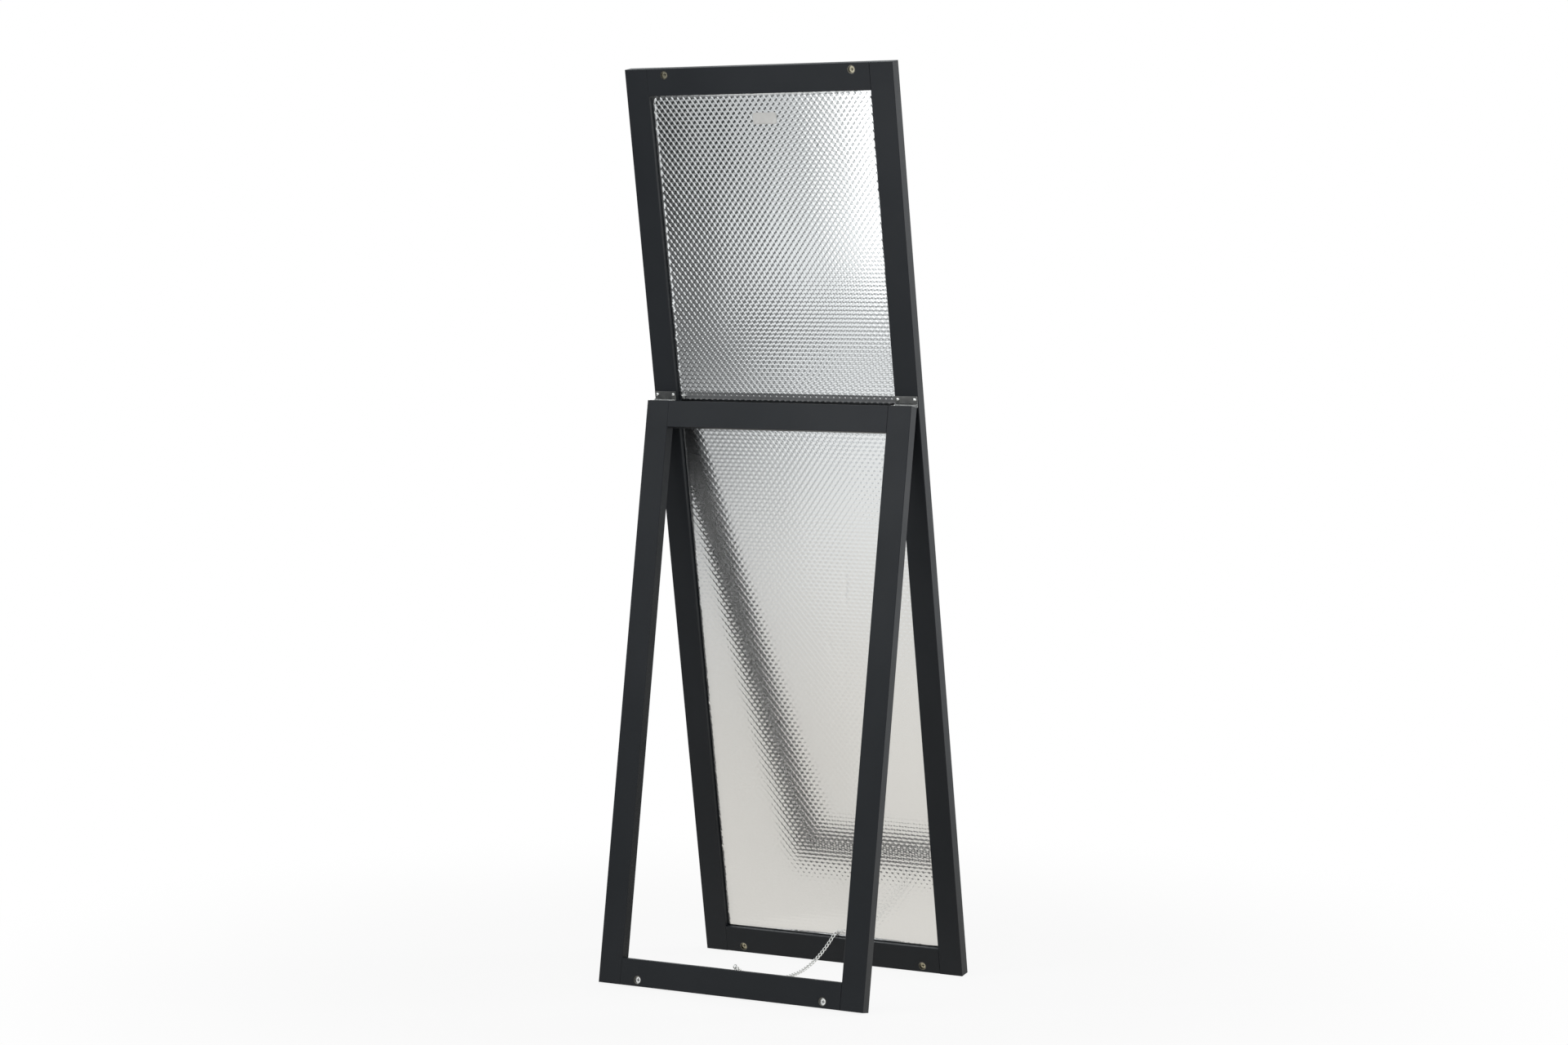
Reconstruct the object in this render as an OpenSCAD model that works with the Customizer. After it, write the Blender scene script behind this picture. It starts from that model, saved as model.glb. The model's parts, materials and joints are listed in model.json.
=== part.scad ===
// Free-standing floor mirror, seen from behind: a leaning mirror frame with glass and a
// foil-faced backing pad, and a stand frame hinged to its back and held by a chain.
// Right and left are as seen from the front, which faces -Y. The floor is at Z = 0.

/* [Mirror frame] */
// Length of the mirror's stiles
mirror_h = 1600; // [1300:10:1900]
// Width of both frames, outside to outside
frame_w = 520; // [400:5:700]
// Thickness of the mirror frame, front to back
mirror_t = 22; // [21:0.5:30]
// Width of the stiles of both frames, as seen from the back
stile_w = 44; // [43:1:70]
// Width of the rails of both frames, as seen from the back
rail_w = 46; // [44:1:80]
// Chamfer that eases the long edges of the frame members
ease = 0.8; // [0.3:0.1:1.5]

/* [Glass and backing] */
// Thickness of the front lip that the glass lies on
lip_t = 4.5; // [3:0.5:6]
// How far the lip covers the edge of the glass
lip_w = 7; // [4:0.5:12]
// Thickness of the mirror glass
glass_t = 3; // [2:0.5:4]
// Gap all round the glass
glass_gap = 0.5; // [0.2:0.1:2]
// Thickness of the pad at its flat rim
pad_rim_t = 4; // [2:0.5:5]
// How far the embossed field stands above the rim
pad_rise = 1.5; // [0.5:0.25:2.5]
// Width of the flat rim
pad_rim_w = 9; // [4:0.5:20]
// Gap all round the pad
pad_gap = 1; // [0.3:0.1:3]

/* [Stand frame] */
// Length of the stand's stiles
stand_len = 1017; // [800:1:1200]
// Thickness of the stand frame
stand_t = 21; // [19:0.5:28]
// Lean of the mirror from upright, in degrees
lean = 9.8; // [7:0.1:13]
// Gap between the two frames when the stand is folded flat
fold_gap = 5.3; // [5.3:0.1:9]
// Height of the folded stand's foot above the mirror's foot
fold_foot = 1; // [0:0.5:20]

/* [Hinges] */
// Length of a hinge along its pin
hinge_len = 42; // [30:1:43]
// Reach of a leaf from the pin's axis
leaf_w = 16; // [14:0.5:19]
// Thickness of a leaf
leaf_t = 1.2; // [0.8:0.1:1.5]
// Outer radius of the knuckles
barrel_r = 3; // [2.6:0.1:3.3]
// Radius of the hinge pin
pin_r = 1.25; // [1:0.05:1.5]
// Radial clearance of the pin in the knuckles
pin_fit = 0.05; // [0.03:0.01:0.08]
// Height of the pin's heads, which also stand out this far all round
pin_head = 0.7; // [0.4:0.1:1]
// Number of knuckles, an odd number
knuckles = 5; // [3:2:7]
// Gap between neighbouring knuckles
knuckle_gap = 0.3; // [0.2:0.05:0.5]
// Distance between the two screws of a leaf
screw_pitch = 32; // [22:1:34]
// Distance of the screws from the pin's axis
screw_reach = 10; // [8:0.5:11]

/* [Screws] */
// Radius of a hinge screw's head
head_r = 3; // [2.5:0.1:3.4]
// Height of a hinge screw's head
head_h = 1.5; // [1:0.1:2]
// Radius of a hinge screw's shank
shank_r = 1.6; // [1.3:0.1:1.8]
// Length of a hinge screw's shank under the head
shank_l = 15; // [10:1:15]
// Length of a hinge screw's point
screw_tip = 3; // [2:0.5:5]
// Length of the cross recess in a screw's head
recess_l = 3.4; // [2.5:0.1:4]
// Width of the cross recess in a screw's head
recess_w = 0.7; // [0.5:0.1:0.9]
// Depth of the cross recess in a screw's head
recess_d = 0.9; // [0.5:0.1:1]
// Radial play of the fastenings in their holes
hole_fit = 0.1; // [0.05:0.05:0.2]

/* [Cam fittings and dowels] */
// Radius of the cam's bore
cam_r = 7.5; // [6.5:0.5:8]
// Depth of the cam's bore
cam_depth = 14.5; // [14:0.25:15.5]
// Depth of the cam's face below the frame's face
cam_sunk = 0.6; // [0.3:0.1:0.8]
// Distance of the cam from the end of the rail
cam_setback = 34; // [24:1:40]
// Distance of the cam from the outer edge of the rail
cam_edge = 11; // [10:0.5:14]
// Depth of the connecting bolt's axis below the frame's face
bolt_n = 9; // [8.5:0.25:9.5]
// Gap between the cam and the bottom of its bore
cam_under = 0.4; // [0.2:0.1:0.8]
// Width of the cam's raised rim
cam_rim = 1.5; // [1:0.1:2]
// Depth of the cam's face below its rim
cam_dish = 3; // [2.4:0.1:3.1]
// Length of the cam's cross recess
cross_l = 6; // [4:0.5:7]
// Width of the cam's cross recess
cross_w = 1.2; // [0.8:0.1:1.5]
// Metal between the cam's cross recess and the hollow for the bolt's head
cross_wall = 0.6; // [0.5:0.1:0.8]
// Radius of the connecting bolt
bolt_r = 3; // [2.5:0.1:3.3]
// Length of the connecting bolt's thread in the stile
bolt_grip = 11; // [8:1:14]
// Radius of the bolt's sleeve, which stops at the stile
sleeve_r = 3.6; // [3.5:0.1:3.8]
// Radius of the bolt's neck
neck_r = 2; // [1.5:0.1:2.2]
// Length of the bolt's head
bolt_head = 3; // [2:0.25:3.5]
// Play of the bolt in the rail and in the cam
bolt_play = 0.4; // [0.3:0.1:0.6]
// Bevel at the ends of bolts and dowels
tip_bevel = 0.8; // [0.4:0.1:1]
// Radius of the wooden dowels
dowel_r = 4; // [3:0.5:4]
// Length of the wooden dowels
dowel_l = 35; // [25:1:40]
// Distance of the inner dowel from the rail's outer edge
dowel_edge = 33; // [31:0.5:36]
// Distance of the stand's outer dowel from its top edge
dowel_top = 19; // [19:0.5:21]

/* [Chain] */
// Radius of the wire of the links and eyes
wire_r = 0.9; // [0.7:0.05:1]
// Distance from one link to the next
link_pitch = 8.7; // [8:0.1:10]
// Outer width of a link
link_w = 6.8; // [6.4:0.1:7.4]
// Twist of each end of a link out of its middle plane, in degrees
link_twist = 45; // [40:1:50]
// Play between neighbouring links
link_play = 0.2; // [0.1:0.05:0.4]
// Outer radius of the screw eyes
eye_r = 4; // [3.9:0.1:5]
// Length of the screw eye's shank
eye_shank = 14; // [10:1:20]
// Length of the shank that shows below the ring of a screw eye
eye_stalk = 2; // [2:0.25:4]
// Place of the mirror's eye across the rail
mirror_eye_x = -8; // [-30:1:30]
// Depth of the eyes below the faces that look at each other
eye_n = 4.5; // [4:0.25:5]
// Turn of the eyes about their shanks, in degrees
eye_turn = 60; // [50:5:90]
// Slope at which the end links hang on the eyes, in degrees
chain_hang = 30; // [26:1:34]
// Length of the lowest, level stretch of the chain
floor_run = 54; // [20:1:80]
// Clearance of the lowest links above the floor
floor_play = 1.2; // [1:0.1:2]

/* [Hidden] */
$fn = 48;
// Overshoot of a cutting tool past the face that it starts from
over = 1;

// Clear width between the stiles, and the middle line of the right stile
inner_w = frame_w - 2*stile_w;
stile_x = frame_w/2 - stile_w/2;

// The hinge pin in the mirror's own plane, with the stand folded against it
pin_n = barrel_r;
pin_s = fold_foot + stand_len + barrel_r;
// The pin's height above the floor, and the stand's foot as seen from the pin
pin_z = pin_s*cos(lean) - pin_n*sin(lean);
pin_y = pin_s*sin(lean) + pin_n*cos(lean);
foot_n = fold_gap - pin_n;
foot_s = fold_foot - pin_s;
// The stand swings out until the inner edge of its foot is on the floor
splay = asin(-pin_z/norm([foot_n, foot_s])) - atan2(foot_s, foot_n);
open_angle = lean + splay;

// The object is centred over the floor that it covers
front_y = -mirror_t*cos(lean);
heel_y = pin_y + (foot_n + stand_t)*cos(splay) - foot_s*sin(splay);
back_y = max(heel_y, mirror_h*sin(lean));
mid_y = (front_y + back_y)/2;

// Front to back, the glass lies on the lip and the pad on the glass
glass_n = -mirror_t + lip_t;
pad_n = glass_n + glass_t;

// Chain link: ring radius of its ends, and half the length of its legs
ring_r = link_w/2 - wire_r;
apex = link_pitch/2 + wire_r + link_play/2;
leg = apex - ring_r;
eye_ring = eye_r - wire_r;

// Everything is drawn in the plane of a frame: X across, Y out of its back face, Z up it
module on_mirror() {
    translate([0, -mid_y, 0]) rotate([-lean, 0, 0]) children();
}
module on_stand() {
    on_mirror() translate([0, pin_n, pin_s]) rotate([open_angle, 0, 0])
        translate([0, fold_gap + stand_t - pin_n, fold_foot - pin_s]) children();
}
module both_sides() {
    for (m = [0, 1]) mirror([m, 0, 0]) children();
}
module both_ends(h) {
    children();
    translate([0, 0, h]) mirror([0, 0, 1]) children();
}
module along_x(x, len) {
    translate([x, 0, 0]) rotate([0, 90, 0]) linear_extrude(len) children();
}

// Cross-sections of the frame members, as points of depth and distance from the outer edge
function rabbeted(w) = [
    [-mirror_t, ease], [-mirror_t + ease, 0], [-ease, 0], [0, ease],
    [0, w - ease], [-ease, w], [glass_n, w], [glass_n, w + lip_w],
    [-mirror_t + ease, w + lip_w], [-mirror_t, w + lip_w - ease]];
function plain(w, t) = [
    [-t, ease], [-t + ease, 0], [-ease, 0], [0, ease],
    [0, w - ease], [-ease, w], [-t + ease, w], [-t, w - ease]];
function across(section) = [for (p = section) [frame_w/2 - p[1], p[0]]];

// Holes for one corner's cam, connecting bolt and dowels
module cam_hole() {
    translate([inner_w/2 - cam_setback, over, cam_edge])
        rotate([90, 0, 0]) cylinder(h = cam_depth + over, r = cam_r);
}
module bolt_hole_in_rail() {
    translate([inner_w/2 - cam_setback, -bolt_n, cam_edge])
        rotate([0, 90, 0]) cylinder(h = cam_setback + over, r = sleeve_r + bolt_play);
}
module bolt_hole_in_stile() {
    translate([inner_w/2 - over, -bolt_n, cam_edge])
        rotate([0, 90, 0]) cylinder(h = bolt_grip + 2*over, r = bolt_r + hole_fit);
}
module dowel_hole(t, edge) {
    translate([inner_w/2 - dowel_l/2 - over, -t/2, edge])
        rotate([0, 90, 0]) cylinder(h = dowel_l + 2*over, r = dowel_r + hole_fit);
}
module eye_hole(x, n, edge) {
    translate([x, n, edge - eye_shank])
        cylinder(h = eye_shank + over, r = wire_r + hole_fit);
}

// Mirror frame
module mirror_stile() {
    difference() {
        linear_extrude(mirror_h) polygon(across(rabbeted(stile_w)));
        both_ends(mirror_h) {
            bolt_hole_in_stile();
            dowel_hole(mirror_t, dowel_edge);
        }
        for (x = [-1, 1])
            translate([stile_x + x*screw_pitch/2, over, pin_s + screw_reach])
                rotate([90, 0, 0]) cylinder(h = shank_l + 2*over, r = shank_r + hole_fit);
    }
}
module mirror_rail() {
    difference() {
        rotate([90, 0, 90]) translate([0, 0, -inner_w/2])
            linear_extrude(inner_w) polygon(rabbeted(rail_w));
        both_sides() {
            // The end is coped over the lip of the stile
            translate([inner_w/2 - lip_w, -mirror_t - over, -over])
                cube([lip_w + over, lip_t + over, rail_w + lip_w + 2*over]);
            cam_hole();
            bolt_hole_in_rail();
            dowel_hole(mirror_t, dowel_edge);
        }
    }
}
module mirror_left_stile() {
    color("#2e3134") on_mirror() mirror([1, 0, 0]) mirror_stile();
}
module mirror_right_stile() {
    color("#2e3134") on_mirror() mirror_stile();
}
module mirror_top_rail() {
    color("#2e3134") on_mirror() translate([0, 0, mirror_h]) mirror([0, 0, 1]) mirror_rail();
}
module mirror_bottom_rail() {
    color("#2e3134") on_mirror() difference() {
        mirror_rail();
        eye_hole(mirror_eye_x, -eye_n, rail_w);
    }
}

// Glass and backing, both laid in the rabbet from the back
module sheet(gap, n0, t) {
    translate([-inner_w/2 + gap, n0, rail_w + gap])
        cube([inner_w - 2*gap, t, mirror_h - 2*rail_w - 2*gap]);
}
module mirror_glass() {
    color("#c9d6da") on_mirror() sheet(glass_gap, glass_n, glass_t);
}
module foil_backing_pad() {
    color("#d6d6d4") on_mirror() union() {
        sheet(pad_gap, pad_n, pad_rim_t);
        sheet(pad_gap + pad_rim_w, pad_n, pad_rim_t + pad_rise);
    }
}

// Cam, bolt and dowel of the right bottom corner, in the plane of either frame
module cam() {
    // The cross recess ends a wall's thickness above the hollow for the bolt's head
    cross_d = bolt_n - bolt_r - bolt_play - cross_wall - cam_sunk;
    translate([inner_w/2 - cam_setback, -cam_sunk, cam_edge]) difference() {
        rotate([90, 0, 0])
            cylinder(h = cam_depth - cam_sunk - cam_under, r = cam_r - hole_fit);
        // Hollow for the bolt's head, and a narrower mouth for its neck
        translate([0, cam_sunk - bolt_n, 0]) {
            translate([0, bolt_r + bolt_play, 0]) rotate([90, 0, 0]) cylinder(
                h = 2*(bolt_r + bolt_play), r = norm([bolt_r, bolt_head/2]) + bolt_play);
            translate([0, -bolt_r - bolt_play, -neck_r - bolt_play])
                cube([cam_r + over, 2*(bolt_r + bolt_play), 2*(neck_r + bolt_play)]);
        }
        // Cross recess for the screwdriver, in the middle of a deep dish
        translate([0, over, 0])
            rotate([90, 0, 0]) cylinder(h = over + cam_dish, r = cam_r - cam_rim);
        for (a = [0, 90]) rotate([0, a, 0])
            translate([-cross_l/2, -cross_d, -cross_w/2]) cube([cross_l, cross_d, cross_w]);
    }
}
module cam_bolt() {
    // Where the sleeve ends and the middle of the head is, from the tip of the thread
    sleeve_end = bolt_grip + cam_setback - cam_r - tip_bevel;
    mid = bolt_grip + cam_setback;
    translate([inner_w/2 + bolt_grip, -bolt_n, cam_edge]) rotate([0, -90, 0])
        rotate_extrude() polygon([
            [0, 0], [bolt_r - tip_bevel, 0], [bolt_r, tip_bevel], [bolt_r, bolt_grip],
            [sleeve_r, bolt_grip], [sleeve_r, sleeve_end], [neck_r, sleeve_end + tip_bevel],
            [neck_r, mid - bolt_head/2], [bolt_r, mid - bolt_head/2 + tip_bevel],
            [bolt_r, mid + bolt_head/2 - tip_bevel], [bolt_r - tip_bevel, mid + bolt_head/2],
            [0, mid + bolt_head/2]]);
}
module dowel(t, edge) {
    translate([inner_w/2 - dowel_l/2, -t/2, edge]) rotate([0, 90, 0])
        rotate_extrude() polygon([
            [0, 0], [dowel_r - tip_bevel, 0], [dowel_r, tip_bevel],
            [dowel_r, dowel_l - tip_bevel], [dowel_r - tip_bevel, dowel_l], [0, dowel_l]]);
}
module mirror_cams() {
    color("#b9b7b0") on_mirror() both_sides() both_ends(mirror_h) cam();
}
module mirror_cam_bolts() {
    color("#a9a9a6") on_mirror() both_sides() both_ends(mirror_h) cam_bolt();
}
module mirror_dowels() {
    color("#c8a878") on_mirror() both_sides() both_ends(mirror_h) dowel(mirror_t, dowel_edge);
}

// Hinge: the leaf lies on wood at Y = -barrel_r and reaches up from the pin at the origin
module leaf(own) {
    step = hinge_len/knuckles;
    difference() {
        union() {
            translate([-hinge_len/2, -barrel_r, barrel_r + knuckle_gap])
                cube([hinge_len, leaf_t, leaf_w - barrel_r - knuckle_gap]);
            for (k = [own : 2 : knuckles - 1])
                translate([-hinge_len/2 + k*step + knuckle_gap/2, 0, 0]) {
                    rotate([0, 90, 0]) cylinder(h = step - knuckle_gap, r = barrel_r);
                    translate([0, -barrel_r, 0])
                        cube([step - knuckle_gap, leaf_t, barrel_r + 2*knuckle_gap]);
                }
        }
        translate([-hinge_len/2 - over, 0, 0]) rotate([0, 90, 0])
            cylinder(h = hinge_len + 2*over, r = pin_r + pin_fit);
        for (x = [-1, 1]) translate([x*screw_pitch/2, -barrel_r + leaf_t + over, screw_reach])
            rotate([90, 0, 0]) cylinder(h = leaf_t + 2*over, r = shank_r + hole_fit);
    }
}
module leaf_screws() {
    for (x = [-1, 1]) translate([x*screw_pitch/2, -barrel_r + leaf_t, screw_reach])
        rotate([90, 0, 0]) difference() {
            rotate_extrude() polygon([
                [0, -head_h], [0.5*head_r, -0.92*head_h], [0.85*head_r, -0.6*head_h],
                [head_r, -0.15*head_h], [head_r, 0], [shank_r, 0],
                [shank_r, shank_l - screw_tip], [0, shank_l]]);
            for (a = [45, 135]) rotate([0, 0, a])
                translate([-recess_l/2, -recess_w/2, -head_h - over])
                    cube([recess_l, recess_w, recess_d + over]);
        }
}
module hinge_pin() {
    // The rounded heads of the pin lie against the outer knuckles
    end = (hinge_len - knuckle_gap)/2;
    rotate([0, 90, 0]) rotate_extrude() polygon([
        [0, -end - pin_head], [pin_r, -end - pin_head],
        [pin_r + pin_head, -end - pin_head/3], [pin_r + pin_head, -end],
        [pin_r, -end], [pin_r, end], [pin_r + pin_head, end],
        [pin_r + pin_head, end + pin_head/3], [pin_r, end + pin_head],
        [0, end + pin_head]]);
}
// A hinge part of the mirror lies on its back face, and one of the stand on its top edge
module at_mirror_hinge(side) {
    on_mirror() translate([side*stile_x, pin_n, pin_s]) children();
}
module at_stand_hinge(side) {
    on_stand() translate([side*stile_x, pin_n - fold_gap - stand_t, stand_len + barrel_r])
        rotate([-90, 0, 0]) mirror([0, 1, 0]) children();
}
module left_hinge_mirror_leaf() { color("#77797a") at_mirror_hinge(-1) leaf(0); }
module right_hinge_mirror_leaf() { color("#77797a") at_mirror_hinge(1) leaf(0); }
module left_hinge_stand_leaf() { color("#77797a") at_stand_hinge(-1) leaf(1); }
module right_hinge_stand_leaf() { color("#77797a") at_stand_hinge(1) leaf(1); }
module left_hinge_pin() { color("#8d8f90") at_mirror_hinge(-1) hinge_pin(); }
module right_hinge_pin() { color("#8d8f90") at_mirror_hinge(1) hinge_pin(); }
module left_mirror_leaf_screws() { color("#c4c4c2") at_mirror_hinge(-1) leaf_screws(); }
module right_mirror_leaf_screws() { color("#c4c4c2") at_mirror_hinge(1) leaf_screws(); }
module left_stand_leaf_screws() { color("#c4c4c2") at_stand_hinge(-1) leaf_screws(); }
module right_stand_leaf_screws() { color("#c4c4c2") at_stand_hinge(1) leaf_screws(); }

// Stand frame
module stand_stile() {
    difference() {
        linear_extrude(stand_len) polygon(across(plain(stile_w, stand_t)));
        bolt_hole_in_stile();
        dowel_hole(stand_t, dowel_edge);
        translate([0, 0, stand_len]) mirror([0, 0, 1]) {
            dowel_hole(stand_t, dowel_top);
            dowel_hole(stand_t, dowel_edge);
        }
        for (x = [-1, 1])
            translate([stile_x + x*screw_pitch/2, pin_n + screw_reach - fold_gap - stand_t,
                stand_len - shank_l - over])
                cylinder(h = shank_l + 2*over, r = shank_r + hole_fit);
    }
}
module stand_rail() {
    rotate([90, 0, 90]) translate([0, 0, -inner_w/2])
        linear_extrude(inner_w) polygon(plain(rail_w, stand_t));
}
module stand_left_stile() {
    color("#2e3134") on_stand() mirror([1, 0, 0]) stand_stile();
}
module stand_right_stile() {
    color("#2e3134") on_stand() stand_stile();
}
module stand_top_rail() {
    color("#2e3134") on_stand() translate([0, 0, stand_len]) mirror([0, 0, 1]) difference() {
        stand_rail();
        both_sides() {
            dowel_hole(stand_t, dowel_top);
            dowel_hole(stand_t, dowel_edge);
        }
    }
}
module stand_bottom_rail() {
    color("#2e3134") on_stand() difference() {
        stand_rail();
        both_sides() {
            cam_hole();
            bolt_hole_in_rail();
            dowel_hole(stand_t, dowel_edge);
        }
        eye_hole(0, eye_n - stand_t, rail_w);
    }
}
module stand_cams() {
    color("#b9b7b0") on_stand() both_sides() cam();
}
module stand_cam_bolts() {
    color("#a9a9a6") on_stand() both_sides() cam_bolt();
}
module stand_bottom_dowels() {
    color("#c8a878") on_stand() both_sides() dowel(stand_t, dowel_edge);
}
module stand_top_dowels() {
    color("#c8a878") on_stand() translate([0, 0, stand_len]) mirror([0, 0, 1]) both_sides() {
        dowel(stand_t, dowel_top);
        dowel(stand_t, dowel_edge);
    }
}

// Screw eye: the ring stands over the edge of a rail, and its shank goes down into it
module screw_eye() {
    translate([0, 0, eye_stalk + eye_r]) rotate([90, 0, eye_turn]) rotate_extrude()
        translate([eye_ring, 0]) circle(wire_r);
    translate([0, 0, over - eye_shank])
        cylinder(h = eye_shank - over + eye_stalk + wire_r, r = wire_r);
}
module mirror_chain_eye() {
    color("#b4b6b6") on_mirror() translate([mirror_eye_x, -eye_n, rail_w]) screw_eye();
}
module stand_chain_eye() {
    color("#b4b6b6") on_stand() translate([0, eye_n - stand_t, rail_w]) screw_eye();
}

// Where the end links hang on the wire of the two eyes, in the object's own frame
function turned(p, a) = [p[0], p[1]*cos(a) - p[2]*sin(a), p[1]*sin(a) + p[2]*cos(a)];
function mirror_point(p) = turned(p, -lean) - [0, mid_y, 0];
function stand_point(p) = mirror_point([0, pin_n, pin_s] + turned(
    p + [0, fold_gap + stand_t - pin_n, fold_foot - pin_s], open_angle));
eye_out = eye_ring*cos(chain_hang)*[cos(eye_turn), sin(eye_turn), 0];
eye_up = [0, 0, eye_stalk + eye_r - eye_ring*sin(chain_hang)];
from = mirror_point([mirror_eye_x, -eye_n, rail_w] + eye_up + eye_out);
to = stand_point([0, eye_n - stand_t, rail_w] + eye_up - eye_out);

// The chain hangs in two parabolic arms with a straight run just over the floor between them
rest_z = ring_r*sin(link_twist) + wire_r + floor_play;
span = norm([to[0] - from[0], to[1] - from[1]]);
heading = atan2(to[1] - from[1], to[0] - from[0]);
arm = (span - floor_run)/2;
function arm_z(end_z, d) = rest_z + (end_z - rest_z)*pow(max(0, 1 - d/arm), 2);
function chain_z(u) = u < span/2 ? arm_z(from[2], u) : arm_z(to[2], span - u);
// Table from the length along the chain to the distance across the floor
steps = 240;
du = span/steps;
rise = [for (i = [0 : steps - 1]) norm([du, chain_z((i + 1)*du) - chain_z(i*du)])];
run = [for (i = 0, l = 0; i <= steps; l = l + (i < steps ? rise[i] : 0), i = i + 1) [l, i*du]];
chain_l = run[steps][0];
hook = apex - 2*wire_r - link_play;
links = ceil((chain_l - 2*hook)/link_pitch) + 1;
pitch = (chain_l - 2*hook)/(links - 1);

// One link, lying along X: its two half rings are turned against each other about X, as
// in a curb chain, so that the ends of neighbouring links cross at right angles
arc_steps = 6;
sides = 6;
link_turns = [for (e = [0, 1]) for (i = [0 : arc_steps]) e*180 - 90 + i*180/arc_steps];
function twisted(p, e) = turned(p, e == 0 ? -link_twist : link_twist);
function link_ring(k) = let(
    a = link_turns[k], e = k > arc_steps ? 1 : 0, out = [cos(a), sin(a), 0],
    mid = [e == 0 ? leg : -leg, 0, 0] + ring_r*out)
    [for (j = [0 : sides - 1]) let(b = (j + 0.5)*360/sides)
        twisted(mid + wire_r*(cos(b)*out + sin(b)*[0, 0, 1]), e)];
link_points = [for (k = [0 : len(link_turns) - 1]) each link_ring(k)];
link_faces = [for (k = [0 : len(link_turns) - 1]) for (j = [0 : sides - 1]) let(
    n = len(link_turns), p = k*sides + j, q = k*sides + (j + 1)%sides,
    r = ((k + 1)%n)*sides + j, t = ((k + 1)%n)*sides + (j + 1)%sides)
    each [[p, r, q], [q, r, t]]];
module chain_link() {
    polyhedron(link_points, link_faces);
}
module chain_links() {
    color("#c2c4c4") for (i = [0 : links - 1]) {
        u = lookup(hook + i*pitch, run);
        slope = atan2(chain_z(u + du) - chain_z(u - du), 2*du);
        // The chain turns a quarter over its length, so both its ends lie flat in the eyes
        roll = link_twist*(2*i/(links - 1) - 1);
        translate([from[0] + u*cos(heading), from[1] + u*sin(heading), chain_z(u)])
            rotate([roll, -slope, heading]) chain_link();
    }
}

mirror_left_stile();
mirror_right_stile();
mirror_top_rail();
mirror_bottom_rail();
mirror_glass();
foil_backing_pad();
mirror_cams();
mirror_cam_bolts();
mirror_dowels();
left_hinge_mirror_leaf();
right_hinge_mirror_leaf();
left_hinge_pin();
right_hinge_pin();
left_mirror_leaf_screws();
right_mirror_leaf_screws();
mirror_chain_eye();
chain_links();
stand_left_stile();
stand_right_stile();
stand_top_rail();
stand_bottom_rail();
stand_cams();
stand_cam_bolts();
stand_top_dowels();
stand_bottom_dowels();
left_hinge_stand_leaf();
right_hinge_stand_leaf();
left_stand_leaf_screws();
right_stand_leaf_screws();
stand_chain_eye();
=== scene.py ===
# %% [markdown]
# A full-length floor mirror, seen from behind. A long charcoal frame holds the glass and a foil-faced
# backing pad, and it leans on a shorter frame that is hinged to its back. A thin chain near the floor
# keeps the two from sliding apart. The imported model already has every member, fitting and hinge at its
# true size, so this lesson gives those solids their finishes, and it models the parts whose beauty is in
# the surface: the embossed foil, the paper label and the twisted links of the chain.

# %% Load the frame
import json
import math
import bmesh
import bpy
import numpy as np
from mathutils import Matrix, Vector, noise


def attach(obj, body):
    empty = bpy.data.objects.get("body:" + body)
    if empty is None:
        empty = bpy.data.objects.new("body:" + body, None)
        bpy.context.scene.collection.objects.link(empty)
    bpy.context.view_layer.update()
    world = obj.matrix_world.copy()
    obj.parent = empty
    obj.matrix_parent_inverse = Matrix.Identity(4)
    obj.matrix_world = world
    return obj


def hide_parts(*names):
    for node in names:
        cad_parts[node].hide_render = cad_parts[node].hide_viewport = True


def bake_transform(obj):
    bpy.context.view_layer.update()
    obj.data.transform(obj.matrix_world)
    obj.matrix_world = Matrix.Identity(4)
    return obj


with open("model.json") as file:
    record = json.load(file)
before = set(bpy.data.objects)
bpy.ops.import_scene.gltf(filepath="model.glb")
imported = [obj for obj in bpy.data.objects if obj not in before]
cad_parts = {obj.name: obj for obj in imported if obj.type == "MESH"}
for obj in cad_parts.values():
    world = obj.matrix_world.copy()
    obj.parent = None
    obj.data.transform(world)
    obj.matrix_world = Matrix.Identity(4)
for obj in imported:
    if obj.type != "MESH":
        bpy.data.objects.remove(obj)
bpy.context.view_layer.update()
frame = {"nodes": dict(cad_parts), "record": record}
nodes = frame["nodes"]
mm = 0.001

# %% [markdown]
# Both frames stand at a slant, so a piece that lies in one of them is easiest to draw upright and flat and
# to lean into place at the end. The record gives the floor face of each frame: a point in the middle of
# its thickness, and the direction that it points in. Up the frame is the opposite direction. Out of its
# back follows from that and from X, which runs across both frames. A 4x4 matrix holds these three
# directions and the starting point, and one matrix per frame is all the fitting there is.

# %% Planes of the two frames
mirror_t = 22 * mm
stand_t = 21 * mm


def leaning(mount, thickness):
    """Matrix for pieces drawn with X across, Y out of the back face and Z up a leaning frame."""
    foot = {m["name"]: m for m in frame["record"]["mounts"]}[mount]
    up = -Vector(foot["axis"])
    across = Vector((1, 0, 0))
    out = up.cross(across)
    turn = Matrix((across, out, up)).transposed().to_4x4()
    return Matrix.Translation(Vector(foot["pos_m"]) + out * thickness / 2) @ turn


on_mirror = leaning("mirror_foot", mirror_t)
on_stand = leaning("stand_foot", stand_t)


def box_in(name, place):
    """Lowest and highest corner of a node, measured square to a leaning frame."""
    back = place.inverted()
    points = np.array([back @ v.co for v in nodes[name].data.vertices])
    return Vector(points.min(axis=0)), Vector(points.max(axis=0))


pad_low, pad_high = box_in("foil_backing_pad", on_mirror)
print("pad:", [round(v / mm, 1) for v in pad_high - pad_low], "mm, its face", round(pad_high.y / mm, 1))

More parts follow.
